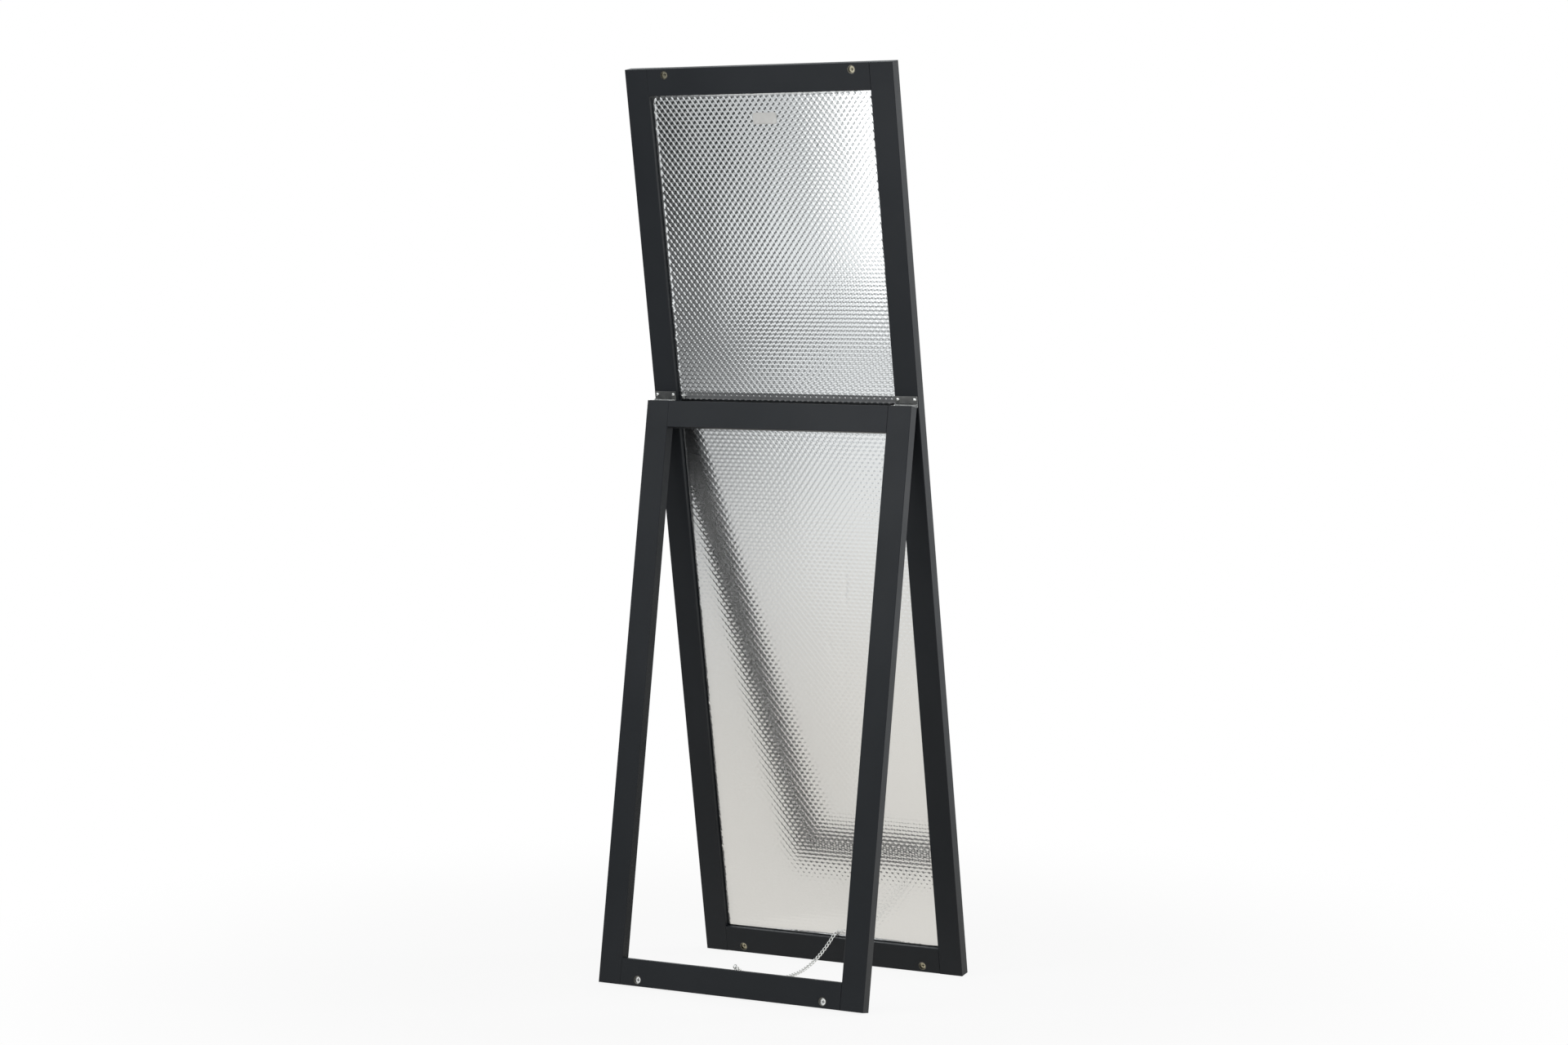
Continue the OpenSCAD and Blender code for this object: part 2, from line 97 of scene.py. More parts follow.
# %% [markdown]
# The camera comes before the looks, because every choice after it is judged through it. Its place and its
# lens were found from the corners of the two frames in the photograph, taken as rectangles of known shape
# that stand on one floor. The photograph is a crop, so its optical axis is a little off the middle. The
# camera's shift carries that, and a turn of the camera couldn't, because it would tilt the verticals.

# %% Camera
photo_w, photo_h = 1920, 1280
focal_px = 4311.4
axis_px = (956.8, 682.9)
camera_place = Vector((-2.987, 5.276, 1.246))
camera_aim = Vector((0.019, -0.023, 0.736))

camera = bpy.data.objects.new("camera", bpy.data.cameras.new("camera"))
bpy.context.scene.collection.objects.link(camera)
bpy.context.scene.camera = camera
camera.location = camera_place
camera.rotation_euler = (camera_aim - camera_place).to_track_quat("-Z", "Y").to_euler()
camera.data.sensor_width = 36
camera.data.lens = focal_px / photo_w * camera.data.sensor_width
camera.data.shift_x = (photo_w / 2 - axis_px[0]) / photo_w
camera.data.shift_y = (axis_px[1] - photo_h / 2) / photo_w
away = (camera_aim - camera_place).length
print("lens:", round(camera.data.lens, 1), "mm, distance:", round(away, 2), "m")

# %% [markdown]
# A bmesh is Blender's editable mesh. Every new piece ends the same way: its bmesh is leaned into place,
# written to a mesh object, smoothed and set to ride on the body that it moves with. One helper does that,
# so each piece below is only about its own shape.

# %% Helper for finished pieces
def finished(name, bm, place, body):
    """Makes an object of a bmesh, in place, riding on a body."""
    bmesh.ops.transform(bm, matrix=place, verts=bm.verts)
    mesh = bpy.data.meshes.new(name)
    bm.to_mesh(mesh)
    bm.free()
    piece = bpy.data.objects.new(name, mesh)
    bpy.context.scene.collection.objects.link(piece)
    for face in mesh.polygons:
        face.use_smooth = True
    if body:
        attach(piece, body)
    print(name, "has", sum(len(f.vertices) - 2 for f in mesh.polygons), "triangles")
    return piece


# %% [markdown]
# The pad behind the glass is a thin sheet with a metal foil face, embossed all over with shallow bumps in
# a staggered grid. It is what makes the back of this mirror look real, so the bumps are geometry. How deep
# are they? The foil mirrors the stand's upright as a fairly narrow dark band, so its slopes are only a few
# degrees and the bumps about a tenth of a millimetre. A staggered grid of bumps is the sum of two waves
# that cross at a slant, and smaller waves on top of them give each bump its shape. A wave is written below
# as its two whole numbers of crests per period, across and up, and its cosine and sine heights in
# millimetres. The grid of faces is coarse against the waves, so its smooth shading shows only a part of
# the main waves' slopes: the share that it flattens comes back in the shader.

# %% The lattice of the foil
bump_w = 11.27 * mm
bump_h = 14.11 * mm
main_waves = ((1, 1, -0.042, 0.003), (1, -1, 0.023, 0.0225))
fine_waves = ((0, 2, -0.018, -0.028), (2, -2, 0.009, 0.001), (2, 2, -0.001, 0.004), (2, 0, -0.003, 0.003))
flattened = 0.42


def bump(x, z):
    """Height of the embossing at a point, from its main waves."""
    total = 0
    for m, n, cosine, sine in main_waves:
        phase = 2 * math.pi * (m * x / bump_w + n * z / bump_h)
        total += cosine * math.cos(phase) + sine * math.sin(phase)
    return total * mm


highest = sum(math.hypot(cosine, sine) for m, n, cosine, sine in main_waves)
print("main waves: up to", round(highest, 3), "mm high")

# %% [markdown]
# The rest of the foil's shape is what happens to any thin sheet. Its middle lies deeper than its rim, it
# bows by a millimetre, it is a little slack, and its rim is crinkled. Noise makes the slack and the
# crinkle: its scale says how often they change in a metre. A few shallow creases are each a middle, a
# height, a length, an angle in degrees and a depth, and they sway from side to side on their way.

# %% The face of the foil
rim = 3 * mm
rim_face = pad_high.y - 0.6 * mm
middle_face = pad_high.y - 1.9 * mm
pad_bow = 1 * mm
slack_depth, slack_x, slack_z = 0.06 * mm, 14, 9
crinkle_depth, crinkle_scale = 0.25 * mm, 160
creases = ((-40, 1240, 24, 80, 0.05), (-96, 1465, 26, 60, 0.05), (-120, 1380, 18, 110, 0.04),
           (-84, 690, 56, 96, 0.22), (-44, 585, 28, 70, 0.12), (150, 250, 40, 30, 0.16),
           (120, 180, 26, 140, 0.14), (30, 120, 34, 10, 0.14))
crease_half = 3 * mm
sway, sway_run = 1.5 * mm, 6 * mm


def eased(value, low, high):
    """0 below low, 1 above high and a smooth rise between."""
    t = min(max((value - low) / (high - low), 0), 1)
    return t * t * (3 - 2 * t)


def dent(x, z):
    """How deep the creases go at a point."""
    total = 0
    for middle, height, length, angle, deep in creases:
        across, along, turn = x - middle * mm, z - height * mm, math.radians(angle)
        run = across * math.cos(turn) + along * math.sin(turn)
        off = along * math.cos(turn) - across * math.sin(turn) - sway * math.sin(run / sway_run)
        total += deep * mm * math.exp(-(run / (length / 2 * mm)) ** 2 - (off / crease_half) ** 2)
    return total


def foil_face(x, z):
    """How far out the foil's face is at a point of the pad."""
    inside = min(pad_high.x - x, x - pad_low.x, pad_high.z - z, z - pad_low.z)
    field = eased(inside, 0, rim)
    slack = slack_depth * noise.noise(Vector((x * slack_x, 5, z * slack_z)))
    crinkle = crinkle_depth * noise.noise(Vector((x * crinkle_scale, 2, z * crinkle_scale)))
    bow = pad_bow * (x / pad_high.x) ** 2
    plain = middle_face + bow + slack - dent(x, z)
    return plain + field * bump(x, z) + (1 - field) * (rim_face - plain + crinkle)


print("foil face:", round((foil_face(0, 0.8) - pad_low.y) / mm, 2), "mm above the glass, half way up")

# %% [markdown]
# The sheet was trimmed by hand, so its outline wavers, and one of its upper corners is snipped off. Noise
# is read along a track of its own for each edge, and says how much was cut off there. A high power of the
# distance across the sheet keeps the trim at the edge, so the lattice in the field stays straight.

# %% The trimmed outline
waver = 1.2 * mm
snip = 9 * mm
side_power, end_power = 40, 90


def cut_away(x, z):
    """How much the trimming took off, from a place on an edge's track through the noise."""
    return waver * abs(noise.noise(Vector((x, 0, z))))


def trimmed(x, z):
    """Moves a point of the full rectangle in from the edge, as far as the sheet was trimmed there."""
    side = (x - pad_low.x) / (pad_high.x - pad_low.x)
    rise = (z - pad_low.z) / (pad_high.z - pad_low.z)
    left = cut_away(2, z * 11) + max(0, snip - (pad_high.z - z))
    right = cut_away(7, z * 13)
    top = cut_away(x * 15, 3)
    bottom = cut_away(x * 21, 8)
    return (x - left * side ** side_power + right * (1 - side) ** side_power,
            z - top * rise ** end_power + bottom * (1 - rise) ** end_power)


corner = Vector((pad_high.x, pad_high.z))
print("snipped off the corner:", round((corner - Vector(trimmed(*corner))).length / mm, 1), "mm")

# %% [markdown]
# The pad starts as a flat grid of faces. Four columns and five rows for each period are the fewest that
# still read as bumps under smooth shading, and they keep the piece below the size at which its file would
# be thinned. The rows and columns keep step with the lattice, or a slow beat between the two would show.
# Each point then moves to the trimmed sheet and out to the foil's face. Extruding the outline back to the
# glass and closing it makes a solid sheet.

# %% Foil backing pad
column, row = bump_w / 4, bump_h / 5
first_x = math.floor(pad_low.x / column) * column
first_z = math.floor(pad_low.z / row) * row
columns = math.ceil((pad_high.x - first_x) / column)
rows = math.ceil((pad_high.z - first_z) / row)

bm = bmesh.new()
bmesh.ops.create_grid(bm, x_segments=columns, y_segments=rows, size=0.5)
for v in bm.verts:
    x = min(max(first_x + (v.co.x + 0.5) * columns * column, pad_low.x), pad_high.x)
    z = min(max(first_z + (v.co.y + 0.5) * rows * row, pad_low.z), pad_high.z)
    x, z = trimmed(x, z)
    v.co = Vector((x, foil_face(x, z), z))
outline = [e for e in bm.edges if e.is_boundary]
walls = bmesh.ops.extrude_edge_only(bm, edges=outline)["geom"]
for v in (g for g in walls if isinstance(g, bmesh.types.BMVert)):
    v.co.y = pad_low.y
bmesh.ops.holes_fill(bm, edges=[g for g in walls if isinstance(g, bmesh.types.BMEdge) and g.is_boundary])
bmesh.ops.recalc_face_normals(bm, faces=bm.faces)
foil_pad = finished("foil_pad", bm, on_mirror, "mirror")
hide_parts("foil_backing_pad")

# %% [markdown]
# A small paper label is stuck on the foil near the top, and it is left blank. It is thin enough to follow
# the bumps. A one-face grid gets round corners from a bevel of its corner points, and a knife cut every
# few millimetres gives the paper points with which to sink into the hollows.

# %% Paper label
label_w, label_h = 46 * mm, 20 * mm
label_x, label_z = -3 * mm, 1510 * mm
label_corner = 3.5 * mm
paper_t = 0.15 * mm
knife_step = 2 * mm

bm = bmesh.new()
bmesh.ops.create_grid(bm, x_segments=1, y_segments=1, size=0.5)
bmesh.ops.scale(bm, vec=(label_w, label_h, 1), verts=bm.verts)
bmesh.ops.bevel(bm, geom=bm.verts, offset=label_corner, segments=6, profile=0.5,
                affect="VERTICES", material=-1)
for across, size in ((Vector((1, 0, 0)), label_w), (Vector((0, 1, 0)), label_h)):
    for k in range(1, round(size / knife_step)):
        bmesh.ops.bisect_plane(bm, geom=bm.verts[:] + bm.edges[:] + bm.faces[:],
                               plane_co=across * (k * knife_step - size / 2), plane_no=across)
bmesh.ops.transform(bm, matrix=Matrix.Rotation(math.pi / 2, 4, "X"), verts=bm.verts)
bmesh.ops.translate(bm, vec=(label_x, 0, label_z), verts=bm.verts)
for v in bm.verts:
    v.co.y = foil_face(v.co.x, v.co.z) + paper_t
bmesh.ops.solidify(bm, geom=bm.faces[:], thickness=paper_t)
bmesh.ops.recalc_face_normals(bm, faces=bm.faces)
label = finished("paper_label", bm, on_mirror, "mirror")

# %% [markdown]
# The chain is a curb chain: each link is an oval of wire whose two ends are twisted against each other, so
# that the links lie snug and nearly flat. The solids already have every link in its place, but with few
# faces. One fine link is made here with a spin for each half ring, and its legs are joined by a bridge.
# Then its points are turned about its length, by an angle that grows from one end to the other.

# %% One link of the chain
wire_r = 0.9 * mm
link_w = 6.8 * mm
link_half = 5.35 * mm
link_twist = math.radians(45)
ring_r = link_w / 2 - wire_r
leg = link_half - ring_r


def fine_link():
    """One link, lying along X, twisted about X."""
    bm = bmesh.new()
    for side in (1, -1):
        ring = bmesh.ops.create_circle(bm, segments=10, radius=wire_r)["verts"]
        bmesh.ops.rotate(bm, verts=ring, matrix=Matrix.Rotation(math.pi / 2, 3, "Y"))
        bmesh.ops.translate(bm, verts=ring, vec=(side * leg, -side * ring_r, 0))
        edges = list({e for v in ring for e in v.link_edges})
        bmesh.ops.spin(bm, geom=ring + edges, cent=(side * leg, 0, 0), axis=(0, 0, 1),
                       angle=math.pi, steps=10, use_merge=False)
    for y in (ring_r, -ring_r):
        ends = [e for e in bm.edges if e.is_boundary and (e.verts[0].co.y + e.verts[1].co.y) * y > 0]
        bmesh.ops.bridge_loops(bm, edges=ends)
    long_edges = [e for e in bm.edges if abs(e.verts[0].co.x - e.verts[1].co.x) > leg]
    bmesh.ops.subdivide_edges(bm, edges=long_edges, cuts=4, use_grid_fill=True)
    for v in bm.verts:
        turn = -link_twist * math.sin(math.pi / 2 * min(max(v.co.x / leg, -1), 1))
        v.co = Matrix.Rotation(turn, 3, "X") @ v.co
    bmesh.ops.recalc_face_normals(bm, faces=bm.faces)
    return bm


link = fine_link()
print("a link has", len(link.faces), "faces and is", round(2 * (link_half + wire_r) / mm, 1), "mm long")

# %% [markdown]
# Where does each link go? The coarse links answer that, with no sums about how a chain hangs. A copy of
# their mesh is merged and split into its separate islands, one per link: from any point, the edges lead to
# all the others of its island.

# %% The coarse links
def islands(name):
    """The points of each separate solid of a node."""
    bm = bmesh.new()
    bm.from_mesh(nodes[name].data)
    bmesh.ops.remove_doubles(bm, verts=bm.verts, dist=0.001 * mm)
    left = set(bm.verts)
    found = []
    while left:
        reached, waiting = set(), [left.pop()]
        while waiting:
            v = waiting.pop()
            reached.add(v)
            fresh = [e.other_vert(v) for e in v.link_edges if e.other_vert(v) in left]
            left.difference_update(fresh)
            waiting += fresh
        found.append(np.array([v.co for v in reached]))
    bm.free()
    return found


coarse = sorted(islands("chain_links"), key=lambda points: points[:, 1].mean())
print("coarse links:", len(coarse), "with", len(coarse[0]), "points each")

# %% [markdown]
# The longest direction of an island is the link's length, and the width of its forward end shows how the
# link is turned about that length. These two directions and the island's middle make the matrix that puts
# a fine link over the coarse one.

# %% Places of the links
link_end = 0.75


def longest(points):
    """The direction in which a cloud of points is longest."""
    return Vector(np.linalg.svd(points - points.mean(axis=0), full_matrices=False)[2][0])


def link_place(points):
    """Matrix that lays a link along X over the points of a coarse link."""
    middle = Vector(points.mean(axis=0))
    along = longest(points)
    along = along if along.y > 0 else -along
    reach = (points - np.array(middle)) @ np.array(along)
    end = points[reach > link_end * reach.max()]
    flat = end - np.outer((end - np.array(middle)) @ np.array(along), np.array(along))
    width = longest(flat)
    width = (width - along * width.dot(along)).normalized()
    width = Matrix.Rotation(link_twist, 3, along) @ width
    turn = Matrix((along, width, along.cross(width))).transposed().to_4x4()
    return Matrix.Translation(middle) @ turn


first = link_place(coarse[0])
print("first link at", [round(v, 3) for v in first.translation], "m")

# %% [markdown]
# The chain is one object of many links, because nobody moves a link on its own.

# %% Chain
bm = bmesh.new()
for points in coarse:
    fresh = link.copy()
    bmesh.ops.transform(fresh, matrix=link_place(points), verts=fresh.verts)
    part = bpy.data.meshes.new("link")
    fresh.to_mesh(part)
    fresh.free()
    bm.from_mesh(part)
    bpy.data.meshes.remove(part)
link.free()
chain = finished("chain", bm, Matrix(), None)
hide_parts("chain_links")
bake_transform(chain)

# %% [markdown]
# Materials are node trees. Writing one in code is mostly adding nodes and joining sockets, so a small
# helper adds a node, sets its plain values and links whatever is given to it as a socket. A number that is
# the same all over a surface is typed on the shader's own socket, where an exporter can read it.

# %% Helper for node trees
def node(tree, kind, inputs=None, **settings):
    """Adds a shader node. An input is a value, or the socket that feeds it."""
    made = tree.nodes.new("ShaderNode" + kind)
    for key, value in settings.items():
        setattr(made, key, value)
    for key, value in (inputs or {}).items():
        if isinstance(value, bpy.types.NodeSocket):
            tree.links.new(value, made.inputs[key])
        else:
            made.inputs[key].default_value = value
    return made


# %% [markdown]
# Some nodes come up again and again: a sum, a reach along a direction, a change of range, and a mix of two
# numbers or of two colours. Each gets a short name, and gives back the socket with its result.

# %% Helpers for common nodes
def worked_out(tree, operation, *values):
    """Socket with the result of a Math node."""
    return node(tree, "Math", dict(enumerate(values)), operation=operation).outputs["Value"]


def reach_along(tree, spot, direction):
    """Socket with how far a place, or the way a surface faces, reaches along a direction."""
    return node(tree, "VectorMath", {0: spot, 1: direction}, operation="DOT_PRODUCT").outputs["Value"]


def ramp(tree, value, start, end, low=0, high=1, kind="LINEAR"):
    """Socket that goes from low to high while a value goes from start to end."""
    made = node(tree, "MapRange", {"Value": value, "From Min": start, "From Max": end,
                                   "To Min": low, "To Max": high}, interpolation_type=kind)
    return made.outputs["Result"]


def between(tree, factor, first, second):
    """Socket with a number between two numbers, as far as a factor socket says."""
    mix = node(tree, "Mix", {"Factor": factor, "A": first, "B": second}, data_type="FLOAT")
    return mix.outputs["Result"]


def mixed(tree, factor, first, second):
    """Socket with a colour between two, each a plain colour or a socket, as far as a factor says."""
    ends = {key: end if isinstance(end, bpy.types.NodeSocket) else (*end, 1)
            for key, end in (("A", first), ("B", second))}
    return node(tree, "Mix", {"Factor": factor, **ends}, data_type="RGBA").outputs["Result"]


# %% [markdown]
# Three effects return in many of the finishes, so each is a node group. Patches is the slow, cloudy change
# that no real surface is without. Grain is a fine, even roughness, such as the orange peel of sprayed
# paint or the tooth of paper. Brushing is noise that is stretched far along one direction, as on metal
# that was rolled or turned. All read Object coordinates, which are metres on these pieces.

# %% Shared effects
def new_group(name, inputs, output):
    """An empty node group with float inputs, given with their defaults, and one float output."""
    tree = bpy.data.node_groups.new(name, "ShaderNodeTree")
    for key, value in inputs.items():
        tree.interface.new_socket(key, in_out="INPUT", socket_type="NodeSocketFloat").default_value = value
    tree.interface.new_socket(output, in_out="OUTPUT", socket_type="NodeSocketFloat")
    given = tree.nodes.new("NodeGroupInput").outputs
    return tree, given, tree.nodes.new("NodeGroupOutput").inputs[output]


patches, given, out = new_group("patches", {"Scale": 6, "Low": 0, "High": 1}, "Value")
spot = node(patches, "TexCoord").outputs["Object"]
cloud = node(patches, "TexNoise", {"Vector": spot, "Scale": given["Scale"],
                                   "Detail": 4, "Roughness": 0.55})
patches.links.new(ramp(patches, cloud.outputs["Fac"], 0.3, 0.7, given["Low"], given["High"]), out)

grain, given, out = new_group("grain", {"Scale": 900, "Depth": 1}, "Height")
spot = node(grain, "TexCoord").outputs["Object"]
fine = node(grain, "TexNoise", {"Vector": spot, "Scale": given["Scale"],
                                "Detail": 2, "Roughness": 0.5})
grain.links.new(worked_out(grain, "MULTIPLY", fine.outputs["Fac"], given["Depth"]), out)

brushing, given, out = new_group("brushing", {"Along": 40, "Across": 3000, "Depth": 1}, "Height")
spot = node(brushing, "TexCoord").outputs["Object"]
stretch = node(brushing, "CombineXYZ", {"X": given["Along"], "Y": given["Across"], "Z": given["Across"]})
drawn = node(brushing, "VectorMath", {0: spot, 1: stretch.outputs["Vector"]}, operation="MULTIPLY")
lines = node(brushing, "TexNoise", {"Vector": drawn.outputs["Vector"], "Scale": 1, "Detail": 3})
brushing.links.new(worked_out(brushing, "MULTIPLY", lines.outputs["Fac"], given["Depth"]), out)
print("node groups:", [g.name for g in bpy.data.node_groups])

# %% [markdown]
# Each finish below starts as a Principled shader with its plain values, and ends with what varies: its
# colour, its roughness, and a bump height, which turns fine grain into shading without any geometry.

# %% Start and end of a finish
def finish_of(name, **plain):
    """A new material and its node tree, with plain values set on its Principled shader."""
    material = bpy.data.materials.new(name)
    material.use_nodes = True
    shader = material.node_tree.nodes["Principled BSDF"]
    for key, value in plain.items():
        shader.inputs[key.replace("_", " ")].default_value = value
    return material, material.node_tree


def surfaced(material, colour, height, deep, rough=None):
    """Feeds colour, bump height and roughness to a material. The bump's depth is in metres."""
    tree = material.node_tree
    shader = tree.nodes["Principled BSDF"]
    bumped = node(tree, "Bump", {"Height": height, "Strength": 1, "Distance": deep})
    tree.links.new(bumped.outputs["Normal"], shader.inputs["Normal"])
    tree.links.new(colour, shader.inputs["Base Color"])
    if rough is not None:
        tree.links.new(rough, shader.inputs["Roughness"])
    print(material.name, "has", len(tree.nodes), "nodes")


# %% [markdown]
# In between, the groups are placed in the material, each with its own values. The commonest is patches,
# for a colour that drifts between two tones or a gloss that isn't the same everywhere.

# %% Helpers for what varies
def placed(tree, group, output, **inputs):
    """The output of a node group that is placed in a material with its own values."""
    made = tree.nodes.new("ShaderNodeGroup")
    made.node_tree = group
    for key, value in inputs.items():
        made.inputs[key].default_value = value
    return made.outputs[output]


def drifting(tree, scale, low, high):
    """Socket with a number that drifts between two values over the surface."""
    return placed(tree, patches, "Value", Scale=scale, Low=low, High=high)


def toned(tree, scale, dark, light):
    """Socket with a colour that drifts between two tones over the surface."""
    return mixed(tree, drifting(tree, scale, 0, 1), dark, light)


# %% [markdown]
# The members are painted fibreboard: a satin charcoal with a trace of blue, sprayed thinly enough that the
# surface keeps a fine orange peel. Patches move the colour and the gloss by a few per cent, and sparse
# pale specks stand for the dust that black furniture always carries. A speck is the middle of a cell of
# Voronoi noise, and its edge is soft.

# %% Charcoal paint
paint, tree = finish_of("charcoal_paint", IOR=1.31)
speck_edge, speck_middle, speck_cover = 0.05, 0.02, 0.35
spot = node(tree, "TexCoord").outputs["Object"]
cells = node(tree, "TexVoronoi", {"Vector": spot, "Scale": 160, "Randomness": 1}).outputs["Distance"]
speck = ramp(tree, cells, speck_edge, speck_middle, 0, speck_cover)
plain = toned(tree, 5, (0.0105, 0.0128, 0.0157), (0.0155, 0.018, 0.0215))
dusty = mixed(tree, speck, plain, (0.12, 0.12, 0.115))
surfaced(paint, dusty, placed(tree, grain, "Height", Scale=1400), 0.05 * mm, drifting(tree, 9, 0.4, 0.5))

# %% [markdown]
# The foil is bare aluminium, so it is a full metal with a light grey colour. Rolled foil is bright: it
# blurs what it reflects only a little. Below the hinges, where the folded stand rubs on it, fine matt
# specks spread part of the light widely, which turns the upright's reflection from black to grey. The
# fine waves of the embossing are shorter than the grid of faces can carry. They are summed in the shader
# instead, with the share of the main waves that the grid flattens, over the same two directions of the
# lattice, and a bump turns the sum into slopes.

# %% Foil
foil, tree = finish_of("embossed_foil", Metallic=1)
spot = node(tree, "TexCoord").outputs["Object"]
start, up = on_mirror.translation, on_mirror.col[2].to_3d()

hinge_line = start.dot(up) + 1000 * mm
rubbed_over = 150 * mm
speck_from, speck_full, speck_rough = 0.58, 0.68, 0.45
bright = drifting(tree, 7, 0.06, 0.1)
matt = ramp(tree, drifting(tree, 3000, 0, 1), speck_from, speck_full, bright, speck_rough)
rubbed = ramp(tree, reach_along(tree, spot, up), hinge_line, hinge_line - rubbed_over)

relief = placed(tree, grain, "Height", Scale=700, Depth=0.008)
for share, waves in ((1, fine_waves), (flattened, main_waves)):
    for m, n, cosine, sine in waves:
        crests = 2 * math.pi * (Vector((m / bump_w, 0, 0)) + up * n / bump_h)
        shift = -crests.dot(start) - math.atan2(sine, cosine)
        phase = worked_out(tree, "ADD", reach_along(tree, spot, crests), shift)
        wave = worked_out(tree, "COSINE", phase)
        relief = worked_out(tree, "MULTIPLY_ADD", wave, share * math.hypot(cosine, sine), relief)
surfaced(foil, toned(tree, 3.5, (0.85, 0.852, 0.85), (0.885, 0.888, 0.888)), relief, mm,
         between(tree, rubbed, bright, matt))

# %% [markdown]
# The label is uncoated paper, a little warmer than the foil. The glass is a front of clear glass over
# silver: to the eye a nearly perfect mirror, with a faint waviness that float glass has over its length.

# %% Paper and mirror glass
paper, tree = finish_of("label_paper", Roughness=0.7)
surfaced(paper, toned(tree, 60, (0.53, 0.53, 0.515), (0.61, 0.61, 0.595)),
         placed(tree, grain, "Height", Scale=2500), 0.05 * mm)

silver, tree = finish_of("mirror_silver", Metallic=1)
surfaced(silver, toned(tree, 2, (0.86, 0.885, 0.88), (0.89, 0.905, 0.9)),
         drifting(tree, 3, 0, 1), 0.02 * mm, drifting(tree, 12, 0.01, 0.03))

# %% [markdown]
# The metals share one recipe and differ in colour, gloss and brushing. The hinges are plain rolled steel,
# dark and dull. Screws, eyes and chain are nickel plated and bright. Bolts are plain zinc, and they hide
# in the wood with the dowels.

# %% Metals
def metal(name, dark, light, rough, depth, along=40, across=2500):
    """A brushed metal that varies between two colours and two roughness values."""
    made, tree = finish_of(name, Metallic=1)
    lines = placed(tree, brushing, "Height", Along=along, Across=across)
    surfaced(made, toned(tree, 90, dark, light), lines, depth, drifting(tree, 140, *rough))
    return made


steel = metal("hinge_steel", (0.12, 0.125, 0.125), (0.2, 0.2, 0.195), (0.32, 0.45), 0.04 * mm)
nickel = metal("bright_nickel", (0.62, 0.62, 0.6), (0.8, 0.8, 0.79), (0.14, 0.26), 0.01 * mm, 600, 1500)
bolt_zinc = metal("bolt_zinc", (0.5, 0.5, 0.48), (0.62, 0.62, 0.6), (0.3, 0.4), 0.02 * mm, 60)

# %% [markdown]
# A cam's dish is painted with its shade: its walls are painted nearly black, and so is a cross recess in
# its bottom, while the bottom around it is lighter. A color ramp over the depth under the frame's back
# has a stop for rim, bottom and recess, and the way a surface faces picks out the walls. The cams of
# mirror and stand are a shaded and a lit copy of one metal: the mirror's are darker and yellowish, a
# yellowish zinc with painted shade, and the stand's bottoms are painted bright as lit.

# %% Cams
cam_deep = 10 * mm
bottom_from, recess_from = 2 * mm, 4 * mm
wall_faces, bottom_faces = 0.4, 0.8
# The recess and wall tones are painted shade, nearly black.
rim_tone, recess_shade_tone, wall_shade_tone = (0.13, 0.125, 0.11), (0.008, 0.008, 0.007), (0.02, 0.019, 0.015)


def cam_metal(name, place, bottom):
    """Metal with painted shade: dark on the walls of its dish and black in the cross recess of its bottom.
    """
    made, tree = finish_of(name, Metallic=1)
    at = node(tree, "TexCoord").outputs
    out = place.col[1].to_3d()
    level = out.dot(place.translation)
    depth = ramp(tree, reach_along(tree, at["Object"], out), level, level - cam_deep)
    zones = node(tree, "ValToRGB", {"Fac": depth})
    zones.color_ramp.interpolation = "CONSTANT"
    zones.color_ramp.elements.new(0.5)
    stops = ((0, rim_tone), (bottom_from, bottom), (recess_from, recess_shade_tone))
    for stop, (deep, tone) in zip(zones.color_ramp.elements, stops):
        stop.position, stop.color = deep / cam_deep, (*tone, 1)
    flat = ramp(tree, reach_along(tree, at["Normal"], out), wall_faces, bottom_faces)
    # The walls of the dish are painted dark as shade.
    tone = mixed(tree, flat, wall_shade_tone, zones.outputs["Color"])
    cast = placed(tree, brushing, "Height", Along=900, Across=900)
    surfaced(made, tone, cast, 0.03 * mm, drifting(tree, 300, 0.22, 0.4))
    return made


# Shaded and lit copies of one metal: the mirror's cams get a darker, yellowish bottom, partly a yellowish
# zinc and partly painted shade, and the stand's a bright one as painted light.
mirror_cam = cam_metal("shaded_cam", on_mirror, (0.42, 0.39, 0.29))
stand_cam = cam_metal("lit_cam", on_stand, (0.95, 0.95, 0.94))

# %% [markdown]
# Dowels are turned from beech, and they sit in their holes inside the corners. Nobody sees them until the
# frame is taken apart, so they get the plainest wood there is: brushing along the dowel, for its rings,
# that moves the colour and the bump together.

# %% Dowel wood
beech, tree = finish_of("beech_dowel", Roughness=0.65)
rings = placed(tree, brushing, "Height", Along=12, Across=900)
surfaced(beech, mixed(tree, rings, (0.42, 0.27, 0.15), (0.68, 0.5, 0.32)), rings, 0.1 * mm)

# %% [markdown]
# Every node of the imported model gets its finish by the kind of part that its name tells. A table of name
# endings keeps that readable, and a name that no ending fits stops the script.

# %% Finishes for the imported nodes
by_ending = {
    "_stile": paint, "_rail": paint, "mirror_glass": silver, "backing_pad": foil,
    "mirror_cams": mirror_cam, "stand_cams": stand_cam, "_cam_bolts": bolt_zinc,
    "_dowels": beech, "_leaf": steel, "_pin": steel, "_screws": nickel,
    "_eye": nickel, "chain_links": nickel}


def wear(piece, material):
    """Gives a piece its one material."""
    piece.data.materials.clear()
    piece.data.materials.append(material)


for name, part in nodes.items():
    wear(part, next(m for ending, m in by_ending.items() if name.endswith(ending)))
for piece, material in ((foil_pad, foil), (label, paper), (chain, nickel)):
    wear(piece, material)
print("finished nodes:", len(nodes))

# %% [markdown]
# Metal shows what stands around it, and a real studio isn't white all round. What stood there can be read
# from the foil, bump by bump: the room is dark on one side, from about 30 to 110 degrees off the way that
# the mirror's back faces, and bright elsewhere. An angle about the vertical axis is all that this takes.
# Which of its looks a surface or the world shows depends on the ray that asks: one that comes off
# something shiny, one of the camera's own, or any other.

# %% Helpers for the surroundings
dark_middle, dark_half = math.radians(71), math.radians(38.8)


